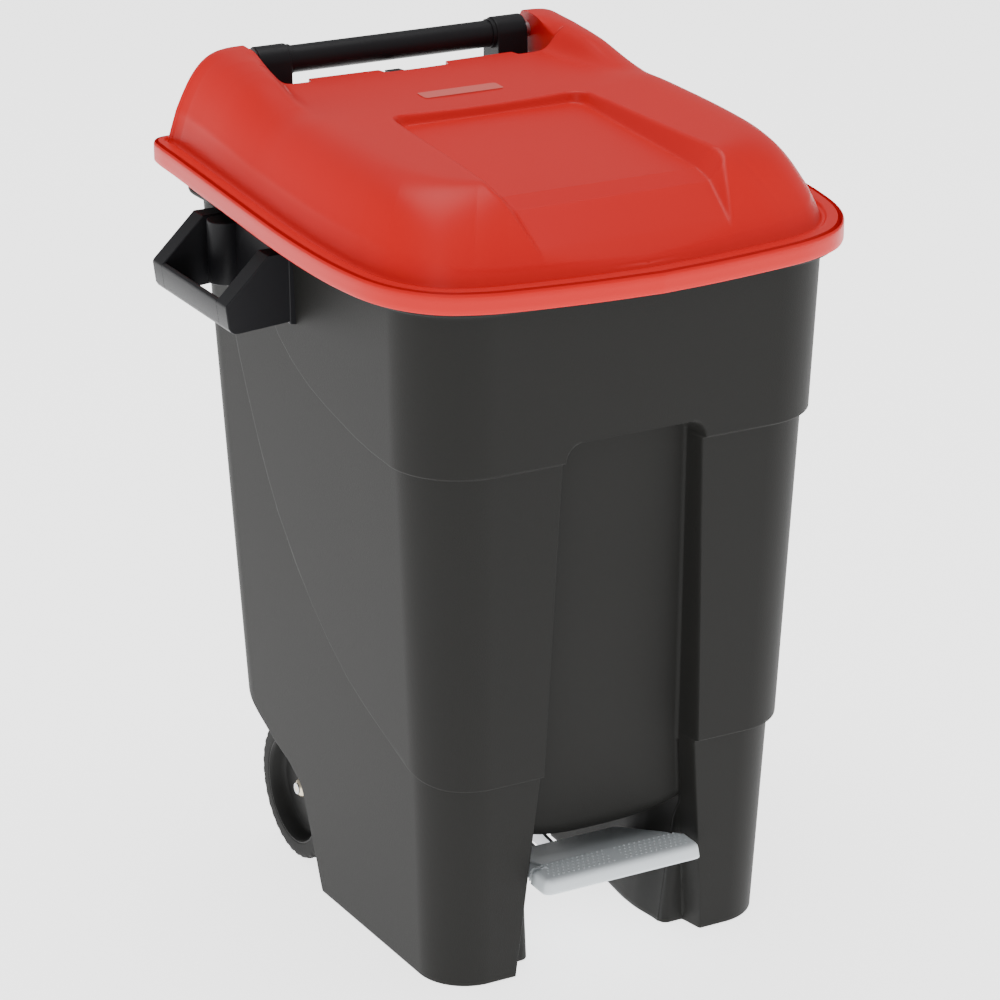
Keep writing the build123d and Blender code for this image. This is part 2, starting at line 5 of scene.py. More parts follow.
import bmesh
import bpy
import numpy as np
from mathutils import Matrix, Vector

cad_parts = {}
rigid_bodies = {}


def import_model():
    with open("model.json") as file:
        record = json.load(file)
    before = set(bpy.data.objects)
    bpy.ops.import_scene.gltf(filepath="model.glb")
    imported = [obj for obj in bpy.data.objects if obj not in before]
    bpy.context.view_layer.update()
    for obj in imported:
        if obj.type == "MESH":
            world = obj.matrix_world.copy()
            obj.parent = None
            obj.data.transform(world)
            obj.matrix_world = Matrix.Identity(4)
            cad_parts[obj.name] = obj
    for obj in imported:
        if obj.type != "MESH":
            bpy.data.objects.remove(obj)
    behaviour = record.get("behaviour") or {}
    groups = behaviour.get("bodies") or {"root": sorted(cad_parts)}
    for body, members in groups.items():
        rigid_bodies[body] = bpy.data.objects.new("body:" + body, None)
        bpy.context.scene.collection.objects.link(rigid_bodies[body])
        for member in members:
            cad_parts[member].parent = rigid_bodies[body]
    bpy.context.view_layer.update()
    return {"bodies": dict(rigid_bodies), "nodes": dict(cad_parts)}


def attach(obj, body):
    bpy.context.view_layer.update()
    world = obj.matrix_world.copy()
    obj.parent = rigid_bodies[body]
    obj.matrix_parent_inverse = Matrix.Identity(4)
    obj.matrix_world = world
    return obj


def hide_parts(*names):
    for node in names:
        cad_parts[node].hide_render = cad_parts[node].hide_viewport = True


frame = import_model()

MM = 0.001


# ---------------------------------------------------------------- mesh helpers
def smooth(t):
    """Smooth step from 0 to 1."""
    t = np.clip(t, 0.0, 1.0)
    return t * t * (3 - 2 * t)


def lerp(a, b, t):
    return a + (b - a) * t


def smooth_min(a, b, r):
    """Lower of two heights, rounded over r."""
    h = np.clip(0.5 + 0.5 * (b - a) / r, 0.0, 1.0)
    return lerp(b, a, h) - r * h * (1 - h)


def spline(points, u):
    """Catmull-Rom curve through points, at the knot positions u."""
    p = np.asarray(points, float)
    p = np.vstack([2 * p[0] - p[1], p, 2 * p[-1] - p[-2]])
    u = np.clip(np.asarray(u, float), 0, len(points) - 1 - 1e-9)
    i = u.astype(int)
    t = (u - i)[:, None]
    a, b, c, d = p[i], p[i + 1], p[i + 2], p[i + 3]
    square = 2 * a - 5 * b + 4 * c - d
    cube = 3 * b - a - 3 * c + d
    return 0.5 * (2 * b + (c - a) * t + square * t ** 2 + cube * t ** 3)


def along(curve, at):
    """Straight-line reading of a curve given as (place, value) pairs."""
    return np.interp(at, *np.transpose(curve))


class Mesh:
    """Collects vertices and faces in millimetres, then becomes one object."""

    def __init__(self):
        self.points, self.faces, self.count = [], [], 0

    def add(self, points, faces):
        points = np.asarray(points, float).reshape(-1, 3)
        self.points.append(points)
        self.faces += [tuple(i + self.count for i in face) for face in faces]
        self.count += len(points)

    def grid(self, points, close_u=False, close_v=False, flip=False):
        """Quads over an array of points indexed [u, v]."""
        nu, nv = points.shape[:2]
        faces = []
        for i in range(nu if close_u else nu - 1):
            for j in range(nv if close_v else nv - 1):
                i2, j2 = (i + 1) % nu, (j + 1) % nv
                quad = (i * nv + j, i2 * nv + j, i2 * nv + j2, i * nv + j2)
                faces.append(quad[::-1] if flip else quad)
        self.add(points.reshape(-1, 3), faces)

    def prism(self, outline, low, high, axis="x"):
        """Closed prism from an outline in the two axes other than axis, between low and high."""
        n = len(outline)
        following = outline[1:] + outline[:1]
        rings = []
        for level in (low, high):
            for a, b in outline:
                rings.append({"x": (level, a, b), "y": (a, level, b), "z": (a, b, level)}[axis])
        area = sum(p[0] * q[1] - q[0] * p[1] for p, q in zip(outline, following))
        faces = [tuple(range(n))[::-1], tuple(range(n, 2 * n))]
        faces += [(i, (i + 1) % n, n + (i + 1) % n, n + i) for i in range(n)]
        if (area < 0) != (axis == "y"):
            faces = [face[::-1] for face in faces]
        self.add(rings, faces)

    def lathe(self, profile, centre, steps):
        """Surface of revolution about an axis along X: profile holds (X, radius)."""
        angle = np.linspace(0, 2 * math.pi, steps, endpoint=False)[:, None]
        along, radius = (np.repeat(np.array(values)[None, :], steps, axis=0) for values in zip(*profile))
        pts = np.stack([along, centre[1] + radius * np.cos(angle), centre[2] + radius * np.sin(angle)], -1)
        self.grid(pts, close_u=True, flip=True)

    def mirror(self):
        """Adds the mirror image in the plane X = 0."""
        pts = np.vstack(self.points)
        self.add(pts * [-1, 1, 1], [face[::-1] for face in self.faces])

    def object(self, name, material, sharp=40.0, merge=0.02):
        """Makes the object, joins seams and shades it smooth except at sharp edges."""
        data = bpy.data.meshes.new(name)
        data.from_pydata([tuple(p) for p in np.vstack(self.points) * MM], [], self.faces)
        data.validate()
        obj = bpy.data.objects.new(name, data)
        bpy.context.scene.collection.objects.link(obj)
        bm = bmesh.new()
        bm.from_mesh(data)
        if merge:
            bmesh.ops.remove_doubles(bm, verts=bm.verts, dist=merge * MM)
            bmesh.ops.dissolve_degenerate(bm, edges=bm.edges, dist=0.5 * merge * MM)
        bm.to_mesh(data)
        bm.free()
        data.shade_smooth()
        data.set_sharp_from_angle(angle=math.radians(sharp))
        data.materials.append(material)
        return obj


def solidify(obj, thickness):
    """Gives a skin its wall thickness on the inner side."""
    mod = obj.modifiers.new("wall", "SOLIDIFY")
    mod.thickness = thickness * MM
    mod.offset = -1.0
    mod.use_quality_normals = True
    mod.thickness_clamp = 1.0
    return obj


def bevel(obj, width):
    """Rounds the sharp edges."""
    mod = obj.modifiers.new("edge", "BEVEL")
    mod.width = width * MM
    mod.segments = 3
    mod.limit_method = "ANGLE"
    mod.angle_limit = math.radians(32.0)
    mod.harden_normals = True
    return obj


def place(obj, body, nodes=()):
    """Puts a piece on its body and hides the CAD nodes it stands for."""
    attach(obj, body)
    if nodes:
        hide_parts(*nodes)
    return obj


# ---------------------------------------------------------------- materials
def plastic(name, color, rough=0.45, grain=900.0, bump=0.05, vary=0.06, metal=0.0, gleam=0.5):
    """Moulded plastic or plated metal: fine grain relief, faint cloudy tone and uneven gloss."""
    mat = bpy.data.materials.new(name)
    mat.use_nodes = True
    nt = mat.node_tree
    nt.nodes.clear()
    new = nt.nodes.new
    out = new("ShaderNodeOutputMaterial")
    shade = new("ShaderNodeBsdfPrincipled")
    shade.inputs["Metallic"].default_value = metal
    shade.inputs["Specular IOR Level"].default_value = gleam
    nt.links.new(shade.outputs[0], out.inputs[0])
    where = new("ShaderNodeTexCoord")
    cloud = new("ShaderNodeTexNoise")
    cloud.inputs["Scale"].default_value = 6.0
    cloud.inputs["Detail"].default_value = 4.0
    fine = new("ShaderNodeTexNoise")
    fine.inputs["Scale"].default_value = grain
    fine.inputs["Detail"].default_value = 3.0
    for noise in (cloud, fine):
        nt.links.new(where.outputs["Object"], noise.inputs["Vector"])
    tone = new("ShaderNodeMix")
    tone.data_type = "RGBA"
    low = [c * (1 - vary) for c in color]
    high = [min(1.0, c * (1 + vary)) for c in color]
    tone.inputs[6].default_value = (*low, 1)
    tone.inputs[7].default_value = (*high, 1)
    nt.links.new(cloud.outputs[0], tone.inputs[0])
    nt.links.new(tone.outputs[2], shade.inputs["Base Color"])
    gloss = new("ShaderNodeMapRange")
    gloss.inputs["To Min"].default_value = rough - 0.05
    gloss.inputs["To Max"].default_value = rough + 0.06
    nt.links.new(fine.outputs[0], gloss.inputs["Value"])
    nt.links.new(gloss.outputs[0], shade.inputs["Roughness"])
    relief = new("ShaderNodeBump")
    relief.inputs["Strength"].default_value = bump
    relief.inputs["Distance"].default_value = 0.0006
    nt.links.new(fine.outputs[0], relief.inputs["Height"])
    nt.links.new(relief.outputs[0], shade.inputs["Normal"])
    return mat


BODY = plastic("body_grey", (0.0135, 0.0133, 0.0123), rough=0.55, grain=700, bump=0.25, gleam=0.12)
HANDLE = plastic("handle_black", (0.0125, 0.0125, 0.0142), rough=0.42, grain=900, bump=0.15, gleam=0.16)
LID = plastic("lid_red", (0.64, 0.007, 0.007), rough=0.38, grain=1200, bump=0.08, vary=0.03, gleam=0.2)
PEDAL = plastic("pedal_grey", (0.66, 0.71, 0.74), rough=0.5, grain=800, bump=0.2, vary=0.03)
RUBBER = plastic("tyre_rubber", (0.013, 0.013, 0.0125), rough=0.7, grain=500, bump=0.4, gleam=0.15)
WHEEL_PLASTIC = plastic("wheel_plastic", (0.014, 0.014, 0.0135), rough=0.5, grain=700, bump=0.2, gleam=0.15)
NICKEL = plastic("cap_nickel", (0.62, 0.55, 0.42), rough=0.28, metal=1.0, bump=0.03)
ZINC = plastic("zinc_steel", (0.55, 0.56, 0.58), rough=0.38, metal=1.0, bump=0.08, grain=300)
GUIDE = plastic("bearing_white", (0.62, 0.62, 0.58), rough=0.5)
LABEL = plastic("label_field", (0.66, 0.10, 0.085), rough=0.42, vary=0.02)


# ---------------------------------------------------------------- container
TOP = 719.0
WALL = 3.4
REAR_CORNER = 45.0
SLOT_Y = 208.0
CHANNEL_TOP, CHANNEL_CORNER = 550.0, 18.0
FOOT_R = 9.0
BELLY_R = 20.0
SOLE_R = 2.6
HUB_Y, HUB_Z = 141.0, 75.0
SPLIT = 34

# each tier's outline: height, half width at the front, front face, front corner radius
SKINS = {
    "base": ((0, 187, -210, 52), (226, 196, -223, 58), (719, 216, -247, 68)),
    "middle": ((0, 195, -221, 56), (226, 202.5, -230, 60), (546, 216.5, -243, 68), (719, 223, -251, 70)),
    "upper": ((0, 205, -228, 60), (546, 224, -250, 72), (719, 228.5, -259, 76)),
}
# the creases where the middle and the upper tier begin, and the wheel cut-out, as (Y, Z)
EDGE_LOW = ((-260, 218), (-205, 220), (-185, 224), (-160, 231), (-126, 244), (-80, 262), (-42, 280),
            (-9, 303), (25, 332), (58, 366), (92, 410), (112, 445), (127, 477), (146, 523), (162, 567),
            (175, 625), (186, 760))
EDGE_HIGH = ((-260, 547), (-172, 547), (-135, 549), (-102, 553), (-42, 565), (-5, 575), (30, 590),
             (58, 608), (78, 630), (90, 660), (97, 700), (103, 790))
ARCH = ((49, 0), (52, 10), (58, 33), (64.5, 55), (70, 76), (75.5, 93), (80, 105), (85.5, 112),
        (96, 118.5), (108, 126), (131, 134.5), (149, 143), (171, 155), (190, 168), (205, 177.5),
        (212, 181))


def table(rows, z, column):
    return np.interp(z, [row[0] for row in rows], [row[column] for row in rows])


def rear_half(z):
    return 200.0 + 0.0432 * z


def rear_y(z):
    return 219.0 + 0.0535 * z


def recess_half(z):
    """Half width of the front channel."""
    return np.interp(z, (0, 222, 547, 719), (107.5, 87.5, 77.0, 72.0))


def recess_y(z):
    """Back wall of the front channel."""
    return np.interp(z, (0, 620, 719), (-184.0, -226.0, -231.0))


def outline(skin, z, part, f):
    """Point and outward direction on one tier's outline at height z.

    The parts are 0 front, 1 corner, 2 side, 3 corner, 4 back, and f runs from 0 to 1 along a part.
    """
    rows = SKINS[skin]
    hf, yf, r = (table(rows, z, k) for k in (1, 2, 3))
    hr, yr, rr = rear_half(z), rear_y(z), REAR_CORNER
    length = np.hypot(hr - hf, yr - yf)
    ux, uy = (hr - hf) / length, (yr - yf) / length
    cx, cy = hf - r * (1 - ux) / uy, yf + r
    bx, by = hr - rr * (1 + ux) / uy, yr - rr
    lean = np.arctan2(-ux, uy)
    if part == 0:
        return f * cx, yf + 0 * f, 0 * f, -1 + 0 * f
    if part == 1:
        a = lerp(-np.pi / 2, lean, f)
        return cx + r * np.cos(a), cy + r * np.sin(a), np.cos(a), np.sin(a)
    if part == 2:
        nx, ny = np.cos(lean), np.sin(lean)
        x0, y0, x1, y1 = cx + r * nx, cy + r * ny, bx + rr * nx, by + rr * ny
        return lerp(x0, x1, f), lerp(y0, y1, f), nx + 0 * f, ny + 0 * f
    if part == 3:
        a = lerp(lean, np.pi / 2, f)
        return bx + rr * np.cos(a), by + rr * np.sin(a), np.cos(a), np.sin(a)
    return lerp(bx, 0.0, f), yr + 0 * f, 0 * f, 1 + 0 * f


def foot_edge(z):
    """X of the foot's inner edge: the strip beside the channel narrows upwards."""
    return np.minimum(np.interp(z, (0, 150), (77.0, 90.0)), recess_half(z) - 6.0)


def foot_fade(z):
    """The foot's inner front corner is rounded low down and runs out at the container's underside."""
    return smooth((146.0 - z) / 30.0)


def front_x(z, column):
    """X of a column on the front face: it follows the foot's inner edge and the channel's edge."""
    edge = recess_half(z)
    centre = np.interp(z, (0, 226, 719), (135.0, 140.0, 152.0))
    jump = foot_edge(z)
    stops = (0 * z, jump, lerp(jump, edge - 4, 0.5), edge - 4, edge + 5, centre)
    k = min(int(column), 4)
    return lerp(stops[k], stops[k + 1], column - k)


def columns():
    """All columns of the right half: (part, value). Column SPLIT stands on the foot's inner edge."""
    cols = []
    for k, n in enumerate((SPLIT, 6, 10, 14, 22)):
        cols += [(0, k + i / n) for i in range(n)]
    cols += [(1, i / 40) for i in range(40)]
    cols += [(2, i / 190) for i in range(190)]
    cols += [(3, i / 24) for i in range(24)]
    back = np.concatenate([np.linspace(0, 0.83, 50), np.linspace(0.84, 0.90, 12), np.linspace(0.905, 1, 8)])
    return cols + [(4, f) for f in back]


def skin_point(part, value, z):
    """Point on the stepped skin at height z (array), with its outward direction."""
    result = None
    for skin, edge in (("base", None), ("middle", EDGE_LOW), ("upper", EDGE_HIGH)):
        share = value + 0 * z
        if part == 0:
            share = front_x(z, value) / outline(skin, z, 0, np.ones_like(z))[0]
        point = outline(skin, z, part, share)
        if result is None:
            result = point
            side_y = point[1]
            continue
        crease = along(edge, side_y)
        slope = (along(edge, side_y + 4) - crease) / 4
        reach = (z - crease) / np.sqrt(1 + slope ** 2)
        result = [lerp(a, b, smooth((reach + 1.6) / 4.4)) for a, b in zip(result, point)]
    x, y, nx, ny = result
    if part == 0:
        inside = smooth((recess_half(z) - np.abs(x)) / 7.0)
        across = np.maximum(np.abs(x) - (recess_half(z) - CHANNEL_CORNER), 0)
        corner = np.hypot(across, np.maximum(z - CHANNEL_TOP, 0)) - CHANNEL_CORNER
        inside = np.where(z > CHANNEL_TOP - 20, smooth(-corner / 7.0), inside)
        y = lerp(y, np.maximum(recess_y(z), y), inside)
    if part == 4:
        y = lerp(y, SLOT_Y, smooth((23.5 - np.abs(x)) / 3.0))
    return x, y, nx, ny


def belly(x):
    """Lower edge of the container between the feet."""
    return 128.6 + 13.0 * (np.minimum(np.abs(x), 90.0) / 90.0) ** 3


def risen(z):
    """Heights that never fall back, with a hair between equal ones."""
    return np.maximum.accumulate(z + np.arange(len(z)) * 1e-5)


def spaced(*stops):
    """Heights from (start, count) pairs, evenly spaced up to the next start; the last start ends them."""
    out = [np.linspace(a, b, n, endpoint=False) for (a, n), (b, _) in zip(stops, stops[1:])]
    return np.concatenate(out + [[stops[-1][0]]])


def ledges(part, value):
    """Heights with their counts up to the rim, closer together at the two creases."""
    y = float(skin_point(part, value, np.array([300.0]))[1][0])
    low = min(float(along(EDGE_LOW, y)), 690.0)
    high = max(min(float(along(EDGE_HIGH, y)), 700.0), low + 8)
    above = (lerp(high + 5, 706, 0.25), 36)
    return [(low - 5, 14), (low + 5, 70), (high - 5, 14), (high + 5, 24), above, (706, 0)]


def rim(part, value):
    """Turned-out rim at the top of one column; it's left off over the rod's slot."""
    out_up = np.array([(0.0, -11.0), (1.0, -8.4), (4.0, -6.6), (12.0, -6.0), (13.4, -5.2), (14.0, -3.8),
                       (14.0, -1.6), (13.2, -0.4), (11.8, 0.0), (4.0, 0.0), (-0.1, -0.2)])
    z = TOP + out_up[:, 1]
    x, y, nx, ny = skin_point(part, value, z)
    out = out_up[:, 0] * (1.0 - (smooth((25.0 - np.abs(x)) / 3.0) if part == 4 else 0.0))
    return np.stack([x + nx * out, y + ny * out, z], -1)


def turned_edge(side, nx, ny, bottom, r, count):
    """Quarter round from the lower end of a column inwards."""
    a = np.linspace(0, np.pi / 2, count)[:-1]
    inward = r * (1 - np.sin(a))
    return np.stack([side[0, 0] - nx[0] * inward, side[0, 1] - ny[0] * inward, bottom - r * np.cos(a)], -1)


def middle_column(part, value):
    """Column between the feet, with the container's underside behind its lower edge."""
    bottom = float(belly(front_x(np.array([170.0]), value))[0]) + BELLY_R
    z = risen(spaced((bottom, 40), *ledges(part, value)))
    x, y, nx, ny = skin_point(part, value, z)
    side = np.stack([x, y, z], -1)
    turn = turned_edge(side, nx, ny, bottom, BELLY_R, 11)
    back = np.linspace(66.0, turn[0, 1], 16)[:-1]
    under = np.stack([np.full(15, turn[0, 0]), back, np.full(15, turn[0, 2])], -1)
    return np.vstack([under, turn, side, rim(part, value)])


def foot_column(part, value):
    """Column that stands on the ground or on the wheel's cut-out."""
    y_low = float(skin_point(part, value, np.array([90.0]))[1][0])
    bottom = SOLE_R + (float(along(ARCH, y_low)) if part >= 2 else 0.0)
    split_z = float(belly(90.0)) + BELLY_R
    z = risen(spaced((bottom, 40), (max(split_z, bottom + 6), 40), *ledges(part, value)))
    x, y, nx, ny = skin_point(part, value, z)
    side = np.stack([x, y, z], -1)
    if part == 0:
        near = np.clip(x - foot_edge(z), 0, FOOT_R)
        side[:, 1] += (FOOT_R - np.sqrt(FOOT_R ** 2 - (FOOT_R - near) ** 2)) * foot_fade(z)
    turn = turned_edge(side, nx, ny, bottom, SOLE_R, 7)
    return np.vstack([turn, side, rim(part, value)])


def container():
    """Right half of the outer skin."""
    m = Mesh()
    cols = columns()
    m.grid(np.array([middle_column(*col) for col in cols[:SPLIT + 1]]))
    m.grid(np.array([foot_column(*col) for col in cols[SPLIT:]]))
    return m


def foot_walls(m):
    """Inner wall of the right foot, running back from the channel to the wheel space."""
    rows = []
    low = float(belly(90.0))
    for d in np.concatenate([np.linspace(0, BELLY_R, 12), np.linspace(BELLY_R, 250, 110)[1:]]):
        start = float(along(ARCH, recess_y(0.0) + FOOT_R + d))
        under = low + BELLY_R * (1 - math.sqrt(1 - (1 - min(d, BELLY_R) / BELLY_R) ** 2))
        z = np.linspace(min(start + 0.2, under - 1), under, 40)
        y = recess_y(z) + FOOT_R * foot_fade(z) + d
        bulge = 4.5 * smooth(d / 45.0) * (1 - smooth((d - 55.0) / 60.0)) * smooth((low - z) / 60.0)
        rows.append(np.stack([foot_edge(z) - bulge, y, z], -1))
    m.grid(np.array(rows), flip=True)


def section(z, y_low, y_high):
    """Right half of the base outline at height z, inside the wall, between two Y limits."""
    inset = 3.0
    pts = []
    zz = np.array([float(z)])
    for part, steps in ((0, 8), (1, 14), (2, 30), (3, 10), (4, 8)):
        for f in np.linspace(0, 1, steps, endpoint=False):
            x, y, nx, ny = (float(v[0]) for v in outline("base", zz, part, np.array([f])))
            pts.append((x - nx * inset, y - ny * inset))
    return [p for p in pts if y_low <= p[1] <= y_high]


def bin_floor():
    """Floor, axle hangers, soles and the shelf behind: thick mouldings of the right half, mirrored."""
    m = Mesh()
    front = [(x, max(y, -176.0)) for x, y in section(144, -186.0, 70.0) if x > 92]
    m.prism([(92, -176)] + front + [(front[-1][0], 70), (92, 70)], 144, 148, axis="z")
    back = section(174, 84.0, 999.0)
    m.prism([(0, 84), (back[0][0], 84)] + back + [(22, 228), (22, 206), (0, 206)], 172, 177, axis="z")
    m.prism([(64, 133), (68, 131), (91, 173), (87, 176)], 0, 196)
    round_end = np.linspace(-0.25, -math.pi + 0.25, 14)
    hanger = [(112, 173), (172, 173), (159, 70)]
    hanger += [(HUB_Y + 18 * math.cos(a), HUB_Z + 18 * math.sin(a)) for a in round_end]
    m.prism(hanger + [(123, 70)], 127, 136)
    sole = [p for p in section(2, -181.0, 37.0) if p[0] > 81]
    m.prism([(81, -181)] + sole + [(sole[-1][0], 37), (81, 37)], 0.6, 4.0, axis="z")
    m.prism([(169, 200), (24, 200), (24, 254), (169, 254)], 713.5, 718.6, axis="z")
    m.mirror()
    return m


skin = container()
foot_walls(skin)
skin.mirror()
shell = skin.object("bin_shell", BODY, sharp=50)
solidify(shell, WALL)
place(shell, "body", ["bin_body"])
under = bevel(bin_floor().object("bin_floor", BODY, sharp=30), 0.8)
place(under, "body", ["bin_body"])


# ---------------------------------------------------------------- lid
HINGE_Y, HINGE_Z = 257.5, 827.0
LID_WALL = 3.0
EAR_X = 161.0
EAR_START, LAST_KNOT = 13.0, 19.0
EAR_TOP = 845.4
# rows of the lid's skin, counted from the skirt inwards
SIDE_ROW, EASED_ROW, TAB_ROW = 20, 24, 79

# plans of the flange's rim, of the line where the dome's side meets its top, and of the top's inner end
RIM_KNOTS = ((0, -294.4), (69, -289.8), (144, -280.5), (182, -271.5), (214, -256), (239, -229),
             (254.5, -195), (263, -150), (267, -100), (268, -50), (267.3, 0), (264.5, 74), (261, 169),
             (259, 225), (258, 262), (254.5, 283), (243, 293.5), (220, 295), (190, 295), (161, 295))
TOP_KNOTS = ((0, -194), (52, -193), (104, -188), (130, -178), (148, -163), (160, -143), (167, -118),
             (171, -88), (173, -55), (174, -20), (174, 20), (174, 80), (174, 150), (174, 198),
             (173.5, 236), (172, 252), (169.5, 259), (167, 262), (164, 263), (161, 263))
SPINE_KNOTS = ((0, -120), (0, -112), (0, -102), (0, -90), (0, -76), (0, -58), (0, -38), (0, -18),
               (0, 4), (0, 28), (0, 54), (0, 98), (0, 150), (0, 194))
# height of the ears over the dome's crown, as (Y, rise)
EAR_RISE = ((35, 0), (60, 1.5), (90, 5.5), (120, 9.5), (150, 13), (180, 16), (210, 18), (250, 19),
            (300, 19))


def flange_low(y):
    """Lower edge of the skirt: the flange rises towards the back."""
    return 716.0 + (y + 294.4) * 0.0323


def lid_top(x, y):
    """Height of the dome's top, with its crown and the two ears, before the panel."""
    x = np.abs(x)
    level = smooth((y - 40.0) / 130.0)
    base = 806.0 + (y + 194.0) * 0.0309 + 6.0 * (1 - level) * (x / EAR_X) ** 2
    rise = 6.3 * level + along(EAR_RISE, y)
    foot = np.interp(y, (35, 100, 166, 196, 250), (182, 166, 155, 150, 142))
    return base + rise * smooth((x - foot) / 19.0)


def panel(x, y):
    """Surface of the sunk panel, its sloping side walls and its back wall."""
    x = np.abs(x)
    bed = np.interp(y, (-272, -262, -240, -200, -175, 44), (728, 741, 757.5, 785, 791.5, 805))
    half = np.interp(y, (-262, -240, -194, 44), (98, 102, 105, 103))
    slope = np.interp(y, (-240, -194, 0, 44), (1.3, 0.95, 1.6, 2.4))
    cx, cy = np.maximum(x - (half - 14), 0), np.maximum(y - 30, 0)
    corner = np.hypot(cx, cy) - 14
    wall = np.where((cx > 0) & (cy > 0), corner, np.maximum(x - half, y - 44))
    return bed + np.maximum(wall, 0) * slope


def lid_points(u, goal, inward):
    """Points [u, row] from the skirt over the flange and the dome's side to the top, which ends at goal."""
    rim_line = spline(RIM_KNOTS, u)
    after, before = np.clip(u + 0.02, 0, LAST_KNOT), np.clip(u - 0.02, 0, LAST_KNOT)
    step = spline(RIM_KNOTS, after) - spline(RIM_KNOTS, before)
    step /= np.linalg.norm(step, axis=1)[:, None]
    normal = np.stack([step[:, 1], -step[:, 0]], -1)
    normal[u == 0] = (0, -1)
    gap = np.interp(u, (0, 3, 6, 14, 15.5, 17, 19), (27, 25, 22, 22, 15, 9, 8))
    power = np.interp(u, (0, 2, 3, 4, 5, 6, 7, 19), (1.28, 1.3, 1.5, 1.9, 2.3, 2.7, 2.9, 3.1))
    low = flange_low(rim_line[:, 1])
    rows = []
    # skirt, as (taken in, up)
    for inset, up in ((1.4, 0.0), (0.3, 0.3), (0.0, 1.2), (0.0, 6.0), (0.0, 12.0), (0.0, 16.8), (0.5, 18.6),
                      (1.5, 19.7), (3.0, 10.0)):
        rows.append(np.column_stack([rim_line - normal * inset, low + up]))
    # flat flange
    span = np.minimum(7.0, gap * 0.4)
    for t in (0.25, 0.5, 0.75, 1.0):
        at = rim_line - normal * (3.0 + (gap - span - 3.0) * t)[:, None]
        rows.append(np.column_stack([at, low + 20.0]))
    # shallow groove round the dome
    for t, dip in ((0.12, 0.3), (0.25, 1.6), (0.4, 3.0), (0.6, 3.4), (0.8, 3.0), (0.93, 1.4), (1.0, 0.6)):
        at = rim_line - normal * (gap - span * (1 - t))[:, None]
        rows.append(np.column_stack([at, low + 20.0 - dip]))
    # the dome's side and top
    foot = rim_line - normal * gap[:, None]
    top = spline(TOP_KNOTS, u)
    crest = lid_top(top[:, 0], top[:, 1])
    for t in np.concatenate([np.linspace(0.008, 0.12, 9), np.linspace(0.14, 1.0, 44)]):
        rows.append(np.column_stack([lerp(foot, top, t), lerp(low + 19.5, crest, 1 - (1 - t) ** power)]))
    for t in np.linspace(0, 1, inward + 1)[1:]:
        at = lerp(top, goal, t)
        rows.append(np.column_stack([at, lid_top(at[:, 0], at[:, 1])]))
    return np.array(rows).transpose(1, 0, 2)


def ease_shoulder(z):
    """Rounds the join between the dome's side and its top, in place."""
    kernel = np.array([1, 4, 6, 4, 1]) / 16.0
    width = z.shape[1] - EASED_ROW
    for _ in range(14):
        padded = np.pad(z[:, EASED_ROW:], ((0, 0), (2, 2)), mode="edge")
        eased = sum(kernel[k] * padded[:, k:k + width] for k in range(5))
        z[:, EASED_ROW + 3:] = eased[:, 3:]


def lid_dome():
    """Dome's half from the middle of the front to the back edge, with the sunk panel and two tabs."""
    u = np.linspace(0.0, EAR_START, 400)
    pts = lid_points(u, spline(SPINE_KNOTS, u), 96)
    x, y, z = pts[:, :, 0], pts[:, :, 1], pts[:, :, 2]
    ease_shoulder(z)
    bed = panel(x, y)
    on_dome = np.arange(z.shape[1])[None, :] > SIDE_ROW + 1
    z[:] = np.where(on_dome & (bed < z + 4), smooth_min(z, bed, 3.0), z)
    tab = smooth((np.abs(x) - 35.5) / 3.0) * smooth((118.5 - np.abs(x)) / 3.0)
    near = np.clip((np.arange(len(u))[:, None] - (len(u) - 16)) / 15.0, 0, 1)
    y += 12.0 * tab * near * (np.arange(z.shape[1])[None, :] >= TAB_ROW)
    z[:] = np.minimum(z, EAR_TOP)
    return pts


def lid_ear(dome):
    """Ear beside the tower; it starts at the place and the height that the dome has at their join."""
    u = np.linspace(EAR_START, LAST_KNOT, 90)
    join = dome[-1, ::-1]
    join_y = np.interp(EAR_X, join[:, 0], join[:, 1])
    inner_y = np.maximum(np.minimum(spline(TOP_KNOTS, u)[:, 1], 263), join_y + 3.0 * (u - EAR_START))
    pts = lid_points(u, np.column_stack([np.full(len(u), EAR_X), inner_y]), 7)
    z = pts[:, :, 2]
    ease_shoulder(z)
    join = dome[-1, SIDE_ROW:][::-1]
    miss = np.interp(pts[0, SIDE_ROW:, 0], join[:, 0], join[:, 2]) - z[0, SIDE_ROW:]
    z[:, SIDE_ROW:] += (1 - smooth((u - EAR_START) / 1.2))[:, None] * miss[None, :]
    z[:] = np.minimum(z, EAR_TOP)
    return pts


def lid_skin():
    """Right half of the lid's outer skin."""
    m = Mesh()
    dome = lid_dome()
    ear = lid_ear(dome)
    m.grid(dome)
    m.grid(ear)
    # wall round the gap for the towers: along the ear and behind the dome
    back_edge = dome[-1]
    start = int(np.argmin(np.abs(back_edge[:, 0] - EAR_X)))
    path = np.vstack([ear[-1, 9:], ear[::-1, -1][1:], back_edge[start:]])
    path = path[np.concatenate([[True], np.linalg.norm(np.diff(path, axis=0), axis=1) > 0.05])]
    wall = []
    for t in (0.0, 0.02, 0.1, 0.3, 0.5, 0.7, 0.9, 1.0):
        wall.append(np.column_stack([path[:, :2], lerp(path[:, 2], flange_low(path[:, 1]), t)]))
    m.grid(np.array(wall).transpose(1, 0, 2), flip=True)
    return m


lid_mesh = lid_skin()
lid_mesh.mirror()
lid = lid_mesh.object("lid_dome", LID, sharp=62)
solidify(lid, LID_WALL)
place(lid, "lid", ["lid_shell"])


# ---------------------------------------------------------------- carrying handles
HANDLE_FRONT, HANDLE_BACK, ARM_WIDE = 14.0, 189.0, 23.0
GRIP_OUTER = [(291.5, 632.8), (295, 635), (297.4, 639), (300, 659.5), (299, 662.5)]


